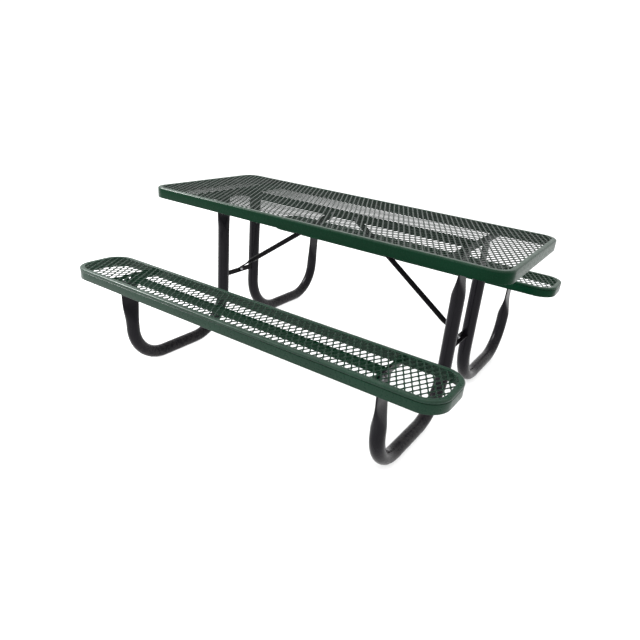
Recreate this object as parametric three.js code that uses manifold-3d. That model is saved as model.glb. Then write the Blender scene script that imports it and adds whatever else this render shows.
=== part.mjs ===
// Six-foot picnic table: coated expanded-steel top and two seats on a bent-tube frame.
// Millimetres, +Z up, +X along the table, -Y towards the front seat.
// The origin is on the ground, below the centre of the top.
import * as THREE from 'three';
import { mergeVertices } from 'three/addons/utils/BufferGeometryUtils.js';
import Module from 'manifold-3d';

const wasm = await Module();
wasm.setup();

// Top and seats
const BOARD_LENGTH = 1829;
const TOP_WIDTH = 762;
const TOP_HEIGHT = 795;
const TOP_CORNER = 76;
const SEAT_WIDTH = 272;
const SEAT_HEIGHT = 481;
const SEAT_CORNER = 92;
const SEAT_OFFSET = 722;

// Steel rim: a skirt with a rounded shoulder and a flange that carries the mesh
const RIM_DEPTH = 50;
const RIM_THICKNESS = 5;
const RIM_SHOULDER = 8;
const RIM_FLANGE = 22;
const CORNER_STEPS = 6;
const SHOULDER_STEPS = 3;

// Mesh sheet with diamond openings, the long way across the table
const SHEET_THICKNESS = 4.4;
const OPENING_PITCH_X = 124;
const OPENING_PITCH_Y = 176;
const STRAND_WIDTH = 22;

// Flat bars on edge, welded below the mesh
const BAR_THICKNESS = 5;
const BAR_DEPTH = 38;
const SEAT_BAR_SHIFT = 8;

// Legs: one bent tube from the top, along the ground and up to a seat
const TUBE_RADIUS = 30.15;
const LEG_X = 662;
const POST_Y = 126;
const FOOT_Y = 727;
const SEAT_LEG_Y = 747;
const POST_BEND = 218;
const SEAT_BEND = 179;
const LEG_HEADROOM = 8;
const LEG_SIDES = 12;
const BEND_STEPS = 8;

// Pressed tube ends: how far each stays flat, and how far it then takes to become round
const LEG_PRESS = { halfThickness: 4, halfWidth: 44.5 };
const TOP_PRESS = { flat: 105, taper: 110 };
const SEAT_PRESS = { flat: 125, taper: 120 };
const PRESS_STEPS = 5;
const PRESS_SQUARENESS = 0.35;

// Tie between the two posts of an end: an angle with its flat leg low and outwards
const TIE_HEIGHT = 30;
const TIE_DEPTH = 24;
const TIE_THICKNESS = 4;
const TIE_CENTRE_Z = 334;
const TIE_BOLT_Z = 340;
const TIE_SETBACK = 12;

// Diagonal brace from the tie to the long bar below the top
const BRACE_RADIUS = 12.7;
const BRACE_SIDES = 10;
const BRACE_HALF_THICKNESS = 2.5;
const BRACE_HALF_WIDTH = 15;
const BRACE_BEND = 12;
const BRACE_TAB_FOOT = 13;
const BRACE_TAB_RISE = 13;
const BRACE_LOWER_PRESS = { flat: 74, taper: 45 };
const BRACE_TOP_X = 66;
const BRACE_TOP_DROP = 28;
const BRACE_TIP = 14;
const BRACE_UPPER_PRESS = { flat: 64, taper: 45 };
const BRACE_TIP_WIDTH = 9;

// Fasteners, three-eighths of an inch
const BOLT_RADIUS = 4.75;
const BOLT_HOLE = 5.25;
const HEX_RADIUS = 8.2;
const HEAD_HEIGHT = 6.4;
const NUT_HEIGHT = 8.3;
const BOLT_TAIL = 3;
const SEAT_BOLTS_Y = [744, 776];
const HEX_SIDES = 6;
const HOLE_SIDES = 12;
const HOLE_TOOL_LENGTH = 60;

// Clearance between pieces that touch, and how near two vertices are to be one
const GAP = 0.3;
const SAME_VERTEX = 1e-4;

const green = { color: 0x1c4a34, roughness: 0.38, metalness: 0 };
const black = { color: 0x1b1a1d, roughness: 0.34, metalness: 0.1 };
const zinc = { color: 0xa9abad, roughness: 0.42, metalness: 0.9 };

const underMesh = -(SHEET_THICKNESS + 2 * GAP);
const barCentreZ = underMesh - BAR_DEPTH / 2;
const legFace = LEG_PRESS.halfThickness;
const crossBarX = LEG_X - legFace - GAP - BAR_THICKNESS / 2;

function piece(name, geometry, look) {
  const mesh = new THREE.Mesh(geometry, new THREE.MeshStandardMaterial(look));
  mesh.name = name;
  return mesh;
}

// Booleans

function solidOf(geometry) {
  const bare = geometry.clone();
  bare.deleteAttribute('normal');
  bare.deleteAttribute('uv');
  const merged = mergeVertices(bare, SAME_VERTEX);
  const vertProperties = new Float32Array(merged.getAttribute('position').array);
  const triVerts = new Uint32Array(merged.index.array);
  return new wasm.Manifold(new wasm.Mesh({ numProp: 3, vertProperties, triVerts }));
}

function geometryOf(solid) {
  const { vertProperties, triVerts } = solid.getMesh();
  const geometry = new THREE.BufferGeometry();
  geometry.setAttribute('position', new THREE.BufferAttribute(vertProperties, 3));
  geometry.setIndex(new THREE.BufferAttribute(triVerts, 1));
  geometry.computeVertexNormals();
  return geometry;
}

function cut(geometry, tools) {
  const cutters = tools.map(solidOf);
  return geometryOf(cutters.reduce((solid, cutter) => solid.subtract(cutter), solidOf(geometry)));
}

function holeAlongY(x, z) {
  const tool = new THREE.CylinderGeometry(BOLT_HOLE, BOLT_HOLE, HOLE_TOOL_LENGTH, HOLE_SIDES);
  return tool.translate(x, 0, z);
}

function holeAlongX(y, z) {
  return holeAlongY(0, 0).rotateZ(Math.PI / 2).translate(0, y, z);
}

// Rims, mesh sheets and bars

function roundedRectangle(length, width, corner) {
  const x = length / 2 - corner;
  const y = width / 2 - corner;
  const outline = new THREE.Shape();
  outline.absarc(x, y, corner, 0, Math.PI / 2);
  outline.absarc(-x, y, corner, Math.PI / 2, Math.PI);
  outline.absarc(-x, -y, corner, Math.PI, 1.5 * Math.PI);
  outline.absarc(x, -y, corner, 1.5 * Math.PI, 2 * Math.PI);
  return outline;
}

// The rim's section, as points of outward distance and height from its upper outer edge.
function rimSection() {
  const section = [new THREE.Vector2(0, -RIM_DEPTH)];
  for (let step = 0; step <= SHOULDER_STEPS; step += 1) {
    const angle = (step / SHOULDER_STEPS) * (Math.PI / 2);
    section.push(new THREE.Vector2(
      RIM_SHOULDER * (Math.cos(angle) - 1),
      RIM_SHOULDER * (Math.sin(angle) - 1),
    ));
  }
  section.push(new THREE.Vector2(-RIM_FLANGE, 0));
  section.push(new THREE.Vector2(-RIM_FLANGE, -RIM_THICKNESS));
  section.push(new THREE.Vector2(-RIM_THICKNESS, -RIM_THICKNESS));
  section.push(new THREE.Vector2(-RIM_THICKNESS, -RIM_DEPTH));
  return section;
}

// Places round a rounded rectangle: the centre of each corner and the ways out from it.
function rimStations(length, width, corner) {
  const stations = [];
  for (const [quarter, signX, signY] of [[0, 1, 1], [1, -1, 1], [2, -1, -1], [3, 1, -1]]) {
    for (let step = 0; step <= CORNER_STEPS; step += 1) {
      const angle = (quarter + step / CORNER_STEPS) * (Math.PI / 2);
      const centre = new THREE.Vector2(signX * (length / 2 - corner), signY * (width / 2 - corner));
      stations.push({ centre, outward: new THREE.Vector2(Math.cos(angle), Math.sin(angle)) });
    }
  }
  return stations;
}

// The rim runs once round a rounded rectangle: a torus whose vertices are moved onto it.
function rimGeometry(length, width, corner) {
  const section = rimSection();
  const stations = rimStations(length, width, corner);
  const rim = new THREE.TorusGeometry(width, RIM_DEPTH, section.length, stations.length);
  const position = rim.getAttribute('position');
  for (let j = 0; j <= section.length; j += 1) {
    for (let i = 0; i <= stations.length; i += 1) {
      const station = stations[i % stations.length];
      const point = section[j % section.length];
      const place = station.centre.clone().addScaledVector(station.outward, corner + point.x);
      position.setXYZ(j * (stations.length + 1) + i, place.x, place.y, point.y);
    }
  }
  return rim;
}

function diamond(x, y) {
  const halfX = (OPENING_PITCH_X - STRAND_WIDTH) / 2;
  const halfY = (OPENING_PITCH_Y - STRAND_WIDTH) / 2;
  const hole = new THREE.Path();
  hole.moveTo(x - halfX, y);
  hole.lineTo(x, y - halfY);
  hole.lineTo(x + halfX, y);
  hole.lineTo(x, y + halfY);
  hole.closePath();
  return hole;
}

// A sheet inside the rim's flange. Its openings are staggered, with a strand at the very centre.
function sheetGeometry(length, width, corner) {
  const inset = RIM_FLANGE + GAP;
  const sheet = roundedRectangle(length - 2 * inset, width - 2 * inset, corner - inset);
  const reachX = length / 2 - inset - OPENING_PITCH_X / 2;
  const reachY = width / 2 - inset - OPENING_PITCH_Y / 2;
  const columns = Math.floor((2 * reachX) / OPENING_PITCH_X) + 1;
  const rows = Math.floor((2 * reachY) / OPENING_PITCH_Y) + 1;
  for (let i = -columns; i <= columns; i += 1) {
    for (let j = -rows; j <= rows; j += 1) {
      const x = (i * OPENING_PITCH_X) / 2;
      const y = (j * OPENING_PITCH_Y) / 2;
      const staggered = (i + j) % 2 !== 0;
      if (staggered && Math.abs(x) <= reachX && Math.abs(y) <= reachY) {
        sheet.holes.push(diamond(x, y));
      }
    }
  }
  // Ellipse curves are drawn with two steps to each segment, so the corners match the rim's.
  const curveSegments = CORNER_STEPS / 2;
  const depth = SHEET_THICKNESS;
  return new THREE.ExtrudeGeometry(sheet, { depth, bevelEnabled: false, curveSegments });
}

// A top or a seat: rim, mesh sheet, a bar across at each pair of legs and a long bar between them.
// Its origin is the centre of its upper face, and the long bar lies at the given y.
function board(prefix, width, corner, crossBolts, longBolts, longBarY) {
  const group = new THREE.Group();
  group.add(piece(`${prefix}_rim`, rimGeometry(BOARD_LENGTH, width, corner), green));
  const sheet = piece(`${prefix}_mesh`, sheetGeometry(BOARD_LENGTH, width, corner), green);
  sheet.position.z = underMesh + GAP;
  group.add(sheet);

  const span = width - 2 * (RIM_THICKNESS + GAP);
  const crossHoles = crossBolts.map((y) => holeAlongX(y, 0));
  for (const [side, sign] of [['left', -1], ['right', 1]]) {
    const bar = new THREE.BoxGeometry(BAR_THICKNESS, span, BAR_DEPTH);
    const cross = piece(`${prefix}_cross_bar_${side}`, cut(bar, crossHoles), green);
    cross.position.set(sign * crossBarX, 0, barCentreZ);
    group.add(cross);
  }

  const length = 2 * (crossBarX - BAR_THICKNESS / 2 - GAP);
  const longHoles = longBolts.map((x) => holeAlongY(x, -BRACE_TOP_DROP - barCentreZ));
  const longBar = new THREE.BoxGeometry(length, BAR_THICKNESS, BAR_DEPTH);
  const long = piece(`${prefix}_long_bar`, cut(longBar, longHoles), green);
  long.position.set(0, longBarY, barCentreZ);
  group.add(long);
  return group;
}

// Tubes

// A route in a plane: straight lines between the corners, with a round bend at each inner corner.
function roundedRoute(corners, radii) {
  const route = new THREE.CurvePath();
  let from = corners[0];
  for (let i = 1; i < corners.length - 1; i += 1) {
    const into = corners[i].clone().sub(corners[i - 1]).normalize();
    const out = corners[i + 1].clone().sub(corners[i]).normalize();
    const turn = Math.atan2(into.cross(out), into.dot(out));
    const radius = radii[i - 1];
    const setback = radius * Math.tan(Math.abs(turn) / 2);
    const start = corners[i].clone().addScaledVector(into, -setback);
    const end = corners[i].clone().addScaledVector(out, setback);
    const towardsCentre = new THREE.Vector2(-into.y, into.x).multiplyScalar(Math.sign(turn) * radius);
    const centre = start.clone().add(towardsCentre);
    const angle = start.clone().sub(centre).angle();
    route.add(new THREE.LineCurve(from, start));
    route.add(new THREE.EllipseCurve(
      centre.x, centre.y, radius, radius, angle, angle + turn, turn < 0,
    ));
    from = end;
  }
  route.add(new THREE.LineCurve(from, corners[corners.length - 1]));
  return route;
}

// Distances along a route at which its tube gets a ring of vertices: every bend, and each given mark.
function ringDistances(route, marks) {
  const ends = [0, ...route.getCurveLengths()];
  const distances = [...marks, ends[ends.length - 1]];
  route.curves.forEach((curve, index) => {
    const steps = curve.isEllipseCurve ? BEND_STEPS : 1;
    for (let step = 0; step < steps; step += 1) {
      distances.push(ends[index] + ((ends[index + 1] - ends[index]) * step) / steps);
    }
  });
  return distances.sort((a, b) => a - b);
}

function smooth(t) {
  const clamped = Math.min(Math.max(t, 0), 1);
  return clamped * clamped * (3 - 2 * clamped);
}

// A closed bar of polygonal section. Each ring says where it is, which way its section's two
// axes point, how far the section reaches along each, and how square its corners are.
function sweptBar(sides, rings) {
  const outline = new THREE.Shape();
  const reach = 1 / Math.cos(Math.PI / sides);
  for (let side = 0; side < sides; side += 1) {
    const angle = ((side + 0.5) / sides) * 2 * Math.PI;
    const point = new THREE.Vector2(Math.cos(angle), Math.sin(angle)).multiplyScalar(reach);
    if (side === 0) outline.moveTo(point.x, point.y);
    else outline.lineTo(point.x, point.y);
  }
  outline.closePath();
  const steps = rings.length - 1;
  const bar = new THREE.ExtrudeGeometry(outline, { depth: steps, steps, bevelEnabled: false });
  const position = bar.getAttribute('position');
  for (let i = 0; i < position.count; i += 1) {
    const ring = rings[Math.round(position.getZ(i))];
    const [u, v] = [position.getX(i), position.getY(i)].map(
      (value) => Math.sign(value) * Math.abs(value) ** ring.power,
    );
    const place = ring.centre.clone();
    place.addScaledVector(ring.axisU, u * ring.reachU);
    place.addScaledVector(ring.axisV, v * ring.reachV);
    position.setXYZ(i, place.x, place.y, place.z);
  }
  return bar;
}

const { lerp } = THREE.MathUtils;
const legEndZ = SEAT_HEIGHT - LEG_HEADROOM;
const seatLean = (SEAT_LEG_Y - FOOT_Y) / (SEAT_HEIGHT - TUBE_RADIUS);
const legEndY = FOOT_Y + seatLean * (legEndZ - TUBE_RADIUS);
const topBoltZ = TOP_HEIGHT + barCentreZ;
const seatBoltZ = SEAT_HEIGHT + barCentreZ;

// Distances from an end at which a pressed tube gets a ring of vertices.
function pressMarks({ flat, taper }) {
  return Array.from({ length: PRESS_STEPS + 1 }, (_, step) => flat + (taper * step) / PRESS_STEPS);
}

// How far a tube is pressed at a distance from its end: 1 is flat, 0 is round.
function pressAt(distance, { flat, taper }) {
  return 1 - smooth((distance - flat) / taper);
}

function legRing(route, length, distance) {
  const { halfThickness, halfWidth } = LEG_PRESS;
  const at = route.getPointAt(distance / length);
  const heading = route.getTangentAt(distance / length);
  const tangent = new THREE.Vector3(0, -heading.x, heading.y);
  const axisU = new THREE.Vector3(1, 0, 0);
  const press = Math.max(pressAt(distance, TOP_PRESS), pressAt(length - distance, SEAT_PRESS));
  return {
    centre: new THREE.Vector3(0, -at.x, at.y),
    axisU,
    axisV: tangent.cross(axisU),
    reachU: lerp(TUBE_RADIUS, halfThickness, press),
    reachV: lerp(TUBE_RADIUS, halfWidth, press),
    power: lerp(1, PRESS_SQUARENESS, press),
  };
}

// A leg in the plane x = 0, with its foot running towards -Y.
function legGeometry() {
  const corners = [
    new THREE.Vector2(POST_Y, TOP_HEIGHT - LEG_HEADROOM),
    new THREE.Vector2(POST_Y, TUBE_RADIUS),
    new THREE.Vector2(FOOT_Y, TUBE_RADIUS),
    new THREE.Vector2(legEndY, legEndZ),
  ];
  const route = roundedRoute(corners, [POST_BEND, SEAT_BEND]);
  const length = route.getLength();
  const seatMarks = pressMarks(SEAT_PRESS).map((mark) => length - mark);
  const distances = ringDistances(route, [...pressMarks(TOP_PRESS), ...seatMarks]);
  const rings = distances.map((distance) => legRing(route, length, distance));
  const holes = [holeAlongX(-POST_Y, topBoltZ), ...SEAT_BOLTS_Y.map((y) => holeAlongX(-y, seatBoltZ))];
  return cut(sweptBar(LEG_SIDES, rings), holes);
}

// The angle between the posts, coped to fit round them, in the right-hand end frame.
function tieGeometry() {
  const inner = -TIE_SETBACK;
  const outer = inner + TIE_DEPTH;
  const half = TIE_HEIGHT / 2;
  const section = new THREE.Shape();
  section.moveTo(inner, -half);
  section.lineTo(outer, -half);
  section.lineTo(outer, TIE_THICKNESS - half);
  section.lineTo(inner + TIE_THICKNESS, TIE_THICKNESS - half);
  section.lineTo(inner + TIE_THICKNESS, half);
  section.lineTo(inner, half);
  section.closePath();
  const angle = new THREE.ExtrudeGeometry(section, { depth: 2 * POST_Y, bevelEnabled: false });
  angle.rotateX(Math.PI / 2).translate(0, POST_Y, 0);
  const cope = (TUBE_RADIUS + GAP) / Math.cos(Math.PI / LEG_SIDES);
  const posts = [-1, 1].map((sign) => {
    const post = new THREE.CylinderGeometry(cope, cope, 2 * TIE_HEIGHT, 2 * LEG_SIDES);
    return post.rotateX(Math.PI / 2).translate(0, sign * POST_Y, 0);
  });
  return cut(angle, [...posts, holeAlongX(0, TIE_BOLT_Z - TIE_CENTRE_Z)]);
}

const tieFaceX = LEG_X - TIE_SETBACK;
const tabX = tieFaceX - GAP - BRACE_HALF_THICKNESS;
const braceY = -(BAR_THICKNESS / 2 + GAP + BRACE_HALF_THICKNESS);
const braceBoltZ = TOP_HEIGHT - BRACE_TOP_DROP;

function braceRoute() {
  const foot = new THREE.Vector2(tabX, TIE_BOLT_Z - BRACE_TAB_FOOT);
  const bend = new THREE.Vector2(tabX, TIE_BOLT_Z + BRACE_TAB_RISE);
  const bolt = new THREE.Vector2(BRACE_TOP_X, braceBoltZ);
  const climb = bolt.clone().sub(bend).normalize();
  const tip = bolt.clone().addScaledVector(climb, BRACE_TIP);
  return roundedRoute([foot, bend, tip], [BRACE_BEND]);
}

function braceMarks(length) {
  const upperMarks = pressMarks(BRACE_UPPER_PRESS).map((mark) => length - mark);
  return [...pressMarks(BRACE_LOWER_PRESS), ...upperMarks, length - BRACE_TIP];
}

function braceRing(route, length, distance) {
  const at = route.getPointAt(distance / length);
  const heading = route.getTangentAt(distance / length);
  const across = new THREE.Vector3(0, 1, 0);
  const lower = pressAt(distance, BRACE_LOWER_PRESS);
  const upper = pressAt(length - distance, BRACE_UPPER_PRESS);
  const tipped = smooth((distance - length + BRACE_TIP) / BRACE_TIP);
  const upperWidth = lerp(BRACE_HALF_WIDTH, BRACE_TIP_WIDTH, tipped);
  const reachU = lerp(BRACE_RADIUS, BRACE_HALF_WIDTH, lower);
  const reachV = lerp(BRACE_RADIUS, BRACE_HALF_THICKNESS, lower);
  return {
    centre: new THREE.Vector3(at.x, braceY, at.y),
    axisU: across,
    axisV: new THREE.Vector3(heading.x, 0, heading.y).cross(across),
    reachU: lerp(reachU, BRACE_HALF_THICKNESS, upper),
    reachV: lerp(reachV, upperWidth, upper),
    power: lerp(1, PRESS_SQUARENESS, Math.max(lower, upper)),
  };
}

// The brace of the right-hand end. Its lower end is pressed flat across the table and bent
// down against the tie; its upper end is pressed flat along the table, beside the long bar.
function braceGeometry() {
  const route = braceRoute();
  const length = route.getLength();
  const distances = ringDistances(route, braceMarks(length));
  const rings = distances.map((distance) => braceRing(route, length, distance));
  const lowerHole = holeAlongX(0, TIE_BOLT_Z).translate(tabX, 0, 0);
  const upperHole = holeAlongY(BRACE_TOP_X, braceBoltZ);
  return cut(sweptBar(BRACE_SIDES, rings), [lowerHole, upperHole]);
}

// Fasteners

// A bolt along +Z, with its head below z = 0. The shank starts at the middle of the head.
function boltGeometry(length) {
  const root = HEAD_HEIGHT / 2;
  const head = new THREE.CylinderGeometry(HEX_RADIUS, HEX_RADIUS, HEAD_HEIGHT, HEX_SIDES);
  head.rotateX(Math.PI / 2).translate(0, 0, -root);
  const shank = new THREE.CylinderGeometry(BOLT_RADIUS, BOLT_RADIUS, length + root, HOLE_SIDES);
  shank.rotateX(Math.PI / 2).translate(0, 0, (length - root) / 2);
  return geometryOf(solidOf(head).add(solidOf(shank)));
}

function nutGeometry() {
  const outline = new THREE.Shape();
  for (let side = 0; side < HEX_SIDES; side += 1) {
    const angle = (side / HEX_SIDES) * 2 * Math.PI;
    const corner = new THREE.Vector2(Math.cos(angle), Math.sin(angle)).multiplyScalar(HEX_RADIUS);
    if (side === 0) outline.moveTo(corner.x, corner.y);
    else outline.lineTo(corner.x, corner.y);
  }
  outline.closePath();
  const hole = new THREE.Path();
  hole.absarc(0, 0, BOLT_HOLE, 0, 2 * Math.PI);
  outline.holes.push(hole);
  const depth = NUT_HEIGHT;
  const curveSegments = HOLE_SIDES / 2;
  return new THREE.ExtrudeGeometry(outline, { depth, bevelEnabled: false, curveSegments });
}

// A bolt through a joint: from the face at the given place, through the grip, into its nut.
function fastener(name, place, direction, grip) {
  const group = new THREE.Group();
  group.position.copy(place).addScaledVector(direction, -GAP);
  group.quaternion.setFromUnitVectors(new THREE.Vector3(0, 0, 1), direction);
  const reach = grip + 2 * GAP;
  group.add(piece(`bolt_${name}`, boltGeometry(reach + NUT_HEIGHT + BOLT_TAIL), zinc));
  const nut = piece(`nut_${name}`, nutGeometry(), zinc);
  nut.position.z = reach;
  group.add(nut);
  return group;
}

// End frames

// One end of the frame, made for +X. The other end is the same, half a turn round.
function endFrame(side, namesByDirection) {
  const frame = new THREE.Group();
  const inwards = new THREE.Vector3(-1, 0, 0);
  const jointGrip = 2 * legFace + GAP + BAR_THICKNESS;
  for (const [direction, name] of namesByDirection) {
    const leg = piece(`leg_${name}_${side}`, legGeometry(), black);
    leg.position.x = LEG_X;
    leg.rotation.z = direction < 0 ? 0 : Math.PI;
    frame.add(leg);
    const joint = (y, z) => new THREE.Vector3(LEG_X + legFace, direction * y, z);
    frame.add(fastener(`top_${name}_${side}`, joint(POST_Y, topBoltZ), inwards, jointGrip));
    SEAT_BOLTS_Y.forEach((y, index) => {
      const label = `seat_${name}_${side}_${index + 1}`;
      frame.add(fastener(label, joint(y, seatBoltZ), inwards, jointGrip));
    });
  }

  const tie = piece(`post_tie_${side}`, tieGeometry(), black);
  tie.position.set(LEG_X, 0, TIE_CENTRE_Z);
  frame.add(tie);
  frame.add(piece(`diagonal_brace_${side}`, braceGeometry(), black));

  const lowerFace = new THREE.Vector3(tabX - BRACE_HALF_THICKNESS, 0, TIE_BOLT_Z);
  const lowerGrip = 2 * BRACE_HALF_THICKNESS + GAP + TIE_THICKNESS;
  frame.add(fastener(`brace_foot_${side}`, lowerFace, new THREE.Vector3(1, 0, 0), lowerGrip));
  const upperFace = new THREE.Vector3(BRACE_TOP_X, braceY - BRACE_HALF_THICKNESS, braceBoltZ);
  const upperGrip = 2 * BRACE_HALF_THICKNESS + GAP + BAR_THICKNESS;
  frame.add(fastener(`brace_head_${side}`, upperFace, new THREE.Vector3(0, 1, 0), upperGrip));
  return frame;
}

// Assembly

const table = new THREE.Group();

const braceBolts = [-BRACE_TOP_X, BRACE_TOP_X];
const top = board('top', TOP_WIDTH, TOP_CORNER, [-POST_Y, POST_Y], braceBolts, 0);
top.position.z = TOP_HEIGHT;
table.add(top);

for (const [name, sign] of [['front_seat', -1], ['rear_seat', 1]]) {
  const boltsY = SEAT_BOLTS_Y.map((y) => sign * (y - SEAT_OFFSET));
  const seat = board(name, SEAT_WIDTH, SEAT_CORNER, boltsY, [], sign * SEAT_BAR_SHIFT);
  seat.position.set(0, sign * SEAT_OFFSET, SEAT_HEIGHT);
  table.add(seat);
}

table.add(endFrame('right', [[-1, 'front'], [1, 'rear']]));
const leftEnd = endFrame('left', [[-1, 'rear'], [1, 'front']]);
leftEnd.rotation.z = Math.PI;
table.add(leftEnd);

export default table;
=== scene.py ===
# Looks of the six-foot picnic table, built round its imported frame.
# Metres, +Z up, +X along the table, -Y towards the front seat.
import math
import random

import bmesh
import bpy
import numpy as np
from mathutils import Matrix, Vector


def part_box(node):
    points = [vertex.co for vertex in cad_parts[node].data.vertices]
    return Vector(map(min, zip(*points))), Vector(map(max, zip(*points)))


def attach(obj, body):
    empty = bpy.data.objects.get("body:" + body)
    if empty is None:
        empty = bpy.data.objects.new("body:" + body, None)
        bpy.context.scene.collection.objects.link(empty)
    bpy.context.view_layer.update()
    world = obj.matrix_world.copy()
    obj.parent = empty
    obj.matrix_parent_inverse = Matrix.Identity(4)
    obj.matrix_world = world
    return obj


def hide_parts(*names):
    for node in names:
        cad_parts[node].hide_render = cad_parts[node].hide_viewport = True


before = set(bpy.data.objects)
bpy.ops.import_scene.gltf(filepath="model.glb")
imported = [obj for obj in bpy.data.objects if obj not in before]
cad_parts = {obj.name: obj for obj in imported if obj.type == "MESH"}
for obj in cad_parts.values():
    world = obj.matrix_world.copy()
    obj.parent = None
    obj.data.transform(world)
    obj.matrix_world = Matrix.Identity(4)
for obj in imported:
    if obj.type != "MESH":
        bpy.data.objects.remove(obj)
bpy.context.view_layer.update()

MM = 0.001
SEED = 7
# Edges that turn further than this many degrees stay crisp
SHARP_ANGLE = 50
HEX_SHARP_ANGLE = 35
random.seed(SEED)

# Camera: where it stands, how it is turned, and its lens
CAMERA_PLACE = (1.34843, -2.27324, 1.34642)
CAMERA_TURN = (66.1274, -4.9548, 33.3735)
CAMERA_LENS = 31.113
CAMERA_SENSOR = 36.0
CAMERA_SHIFT = (-0.01476, 0.01038)

# Light: the surroundings brighten from the horizon up (height from, height to, strength from,
# strength to). The lamp has a name, a place, a point it faces, a width, a height and a power,
# and casts no shadow
WORLD_FADE = (0.0, 0.5, 1.08, 1.3)
LAMP = ("key", (-3.8, -0.9, 3.45), (-0.2, 0, 0.6), 2.0, 0.6, 270)

# Rims
TOP_CORNER = 76 * MM
SEAT_CORNER = 92 * MM
RIM_THICKNESS = 5 * MM
RIM_FLANGE = 22 * MM
RIM_SHOULDER = 8 * MM
LIP_RADIUS = 1.6 * MM
FLANGE_EDGE = 1.2 * MM
FLANGE_FILLET = 3 * MM
CORNER_STEPS = 18
STRAIGHT_STEP = 40 * MM

# A seat's rolled upper edge, and the seam between it and the skirt below, with the angles
# at which the skirt and the roll turn into the seam
ROLL_RADIUS = 6.2 * MM
SEAM_ANGLES = (70, -62)
SEAM_DROP = 13.2 * MM
SEAM_DEPTH = 3.2 * MM
SKIRT_SETBACK = 0.8 * MM
SKIRT_LEDGE = 1.2 * LIP_RADIUS

# How dark the painted shade on the faces inside a rim is, from 0 to 1, and how far in it starts
TOP_SHADE = 1.0
SEAT_SHADE = 0.6
SHADE_START = 0.9 * RIM_THICKNESS

# Expanded steel: diamonds with the long way across the table
TOP_PITCH = (26.0 * MM, 52 * MM)
TOP_PHASE = (-7 * MM, -13.5 * MM)
SEAT_PITCH = (28.5 * MM, 53 * MM)
SEAT_PHASE = (14.25 * MM, 7 * MM)
TOP_STRAND = 6.2 * MM
SEAT_STRAND = 5.3 * MM
STRAND_THICKNESS = 4.3 * MM
# A strand's shoulder: how far in (share of its width), how high (share of half its thickness)
STRAND_SHOULDER = (0.36, 0.72)
# Cells with less than these shares of a whole one are left out, or left without an opening
LEAST_CELL = 0.02
LEAST_OPENING = 0.12
# Each tip of an opening: its place in the ring, and how much it is blunted
TIP_BLUNTING = ((1, 0.44), (4, 0.5), (7, 0.44), (10, 0.5))
DIAMOND_TIP = 0.25
SHEET_TUCK = 14 * MM
MARGIN_WIDTH = 5 * MM
MARGIN_SHOULDER = 0.8 * MARGIN_WIDTH

# Tubes
LEG_SIDES = 48
POST_BEND = 218 * MM
SEAT_BEND = 179 * MM
FOOT_Y = 727 * MM
SEAT_LEG_Y = 747 * MM
# Half the thickness and width of a leg's flat end, then how far each end stays flat and
# how far it takes from there to become round
LEG_FLAT = (4 * MM, 44.5 * MM)
TOP_PRESS = (105 * MM, 110 * MM)
SEAT_PRESS = (125 * MM, 120 * MM)
PRESS_SQUARENESS = 0.35
TUBE_STEP = 9 * MM

# Bars on edge, and the beads that weld them to the rims
BAR_ROUNDING = 1.1 * MM
BAR_END_DRAW = 0.25 * MM
BAR_STATIONS = 24
BEAD_RADIUS = 2.6 * MM
BEAD_STEP = 0.8 * MM
BEAD_SIDES = 10
# A bead's middle line: how far it lies back from a bar's end, and out from its face
BEAD_LINE = (0.4 * BEAD_RADIUS, 0.25 * BEAD_RADIUS)
# A bead's ripple (length, depth), how uneven it is, and its least reach (shares of its radius)
BEAD_RIPPLE = 3.2 * MM
RIPPLE_DEPTH = 0.1
BEAD_UNEVENNESS = 0.04
BEAD_LEAST_REACH = 0.2
# A direction that no bead runs along
OFF_AXIS = (0.31, 0.52, 0.79)

# The tie between two posts: an angle with its flat leg low and outwards, coped to the tubes
TIE_THICKNESS = 4 * MM
TIE_ROUNDING = 5 * MM
TIE_EDGE = 0.9 * MM
TIE_STATIONS = 20
TIE_HEEL_POINTS = 7
TIE_BEAD_REACH = 0.9
TIE_BEAD_STEPS = 5
COPE_GAP = 0.3 * MM

# Diagonal braces, pressed flat at both ends
BRACE_SIDES = 32
BRACE_RADIUS = 12.7 * MM
BRACE_FLAT = (2.5 * MM, 15 * MM)
BRACE_BEND = 12 * MM
BRACE_TAB_RISE = 13 * MM
BRACE_LOWER_PRESS = (74 * MM, 45 * MM)
BRACE_UPPER_PRESS = (64 * MM, 45 * MM)
BRACE_TIP = 14 * MM
BRACE_TIP_WIDTH = 9 * MM

# Fasteners
HEX_SIDES = 36
HEX_RADIUS = 8.2 * MM
HEAD_HEIGHT = 6.4 * MM
HEX_FACE = 0.82
CHAMFER_LEVELS = (0, 0.12, 0.25, 0.4, 0.6, 0.85)
# The dish in a bolt's head: its depth, and its rings (share of the depth, share of HEX_RADIUS)
DISH_DEPTH = 0.3 * MM
DISH_RINGS = ((1.0, 0.55), (0.5, 0.66))
SHANK_RADIUS = 4.75 * MM
NUT_HOLE = 5.25 * MM
NUT_SINK = 0.6 * MM
THREAD_PITCH = 1.6 * MM
THREAD_DEPTH = 0.55 * MM
THREAD_LENGTH = 13 * MM
THREAD_STEP = THREAD_PITCH / 4
# A bolt's tip: how long it is, and how far it is drawn in
TIP_LENGTH = 0.5 * MM
TIP_DRAW = 2.2 * THREAD_DEPTH


# Materials

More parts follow.
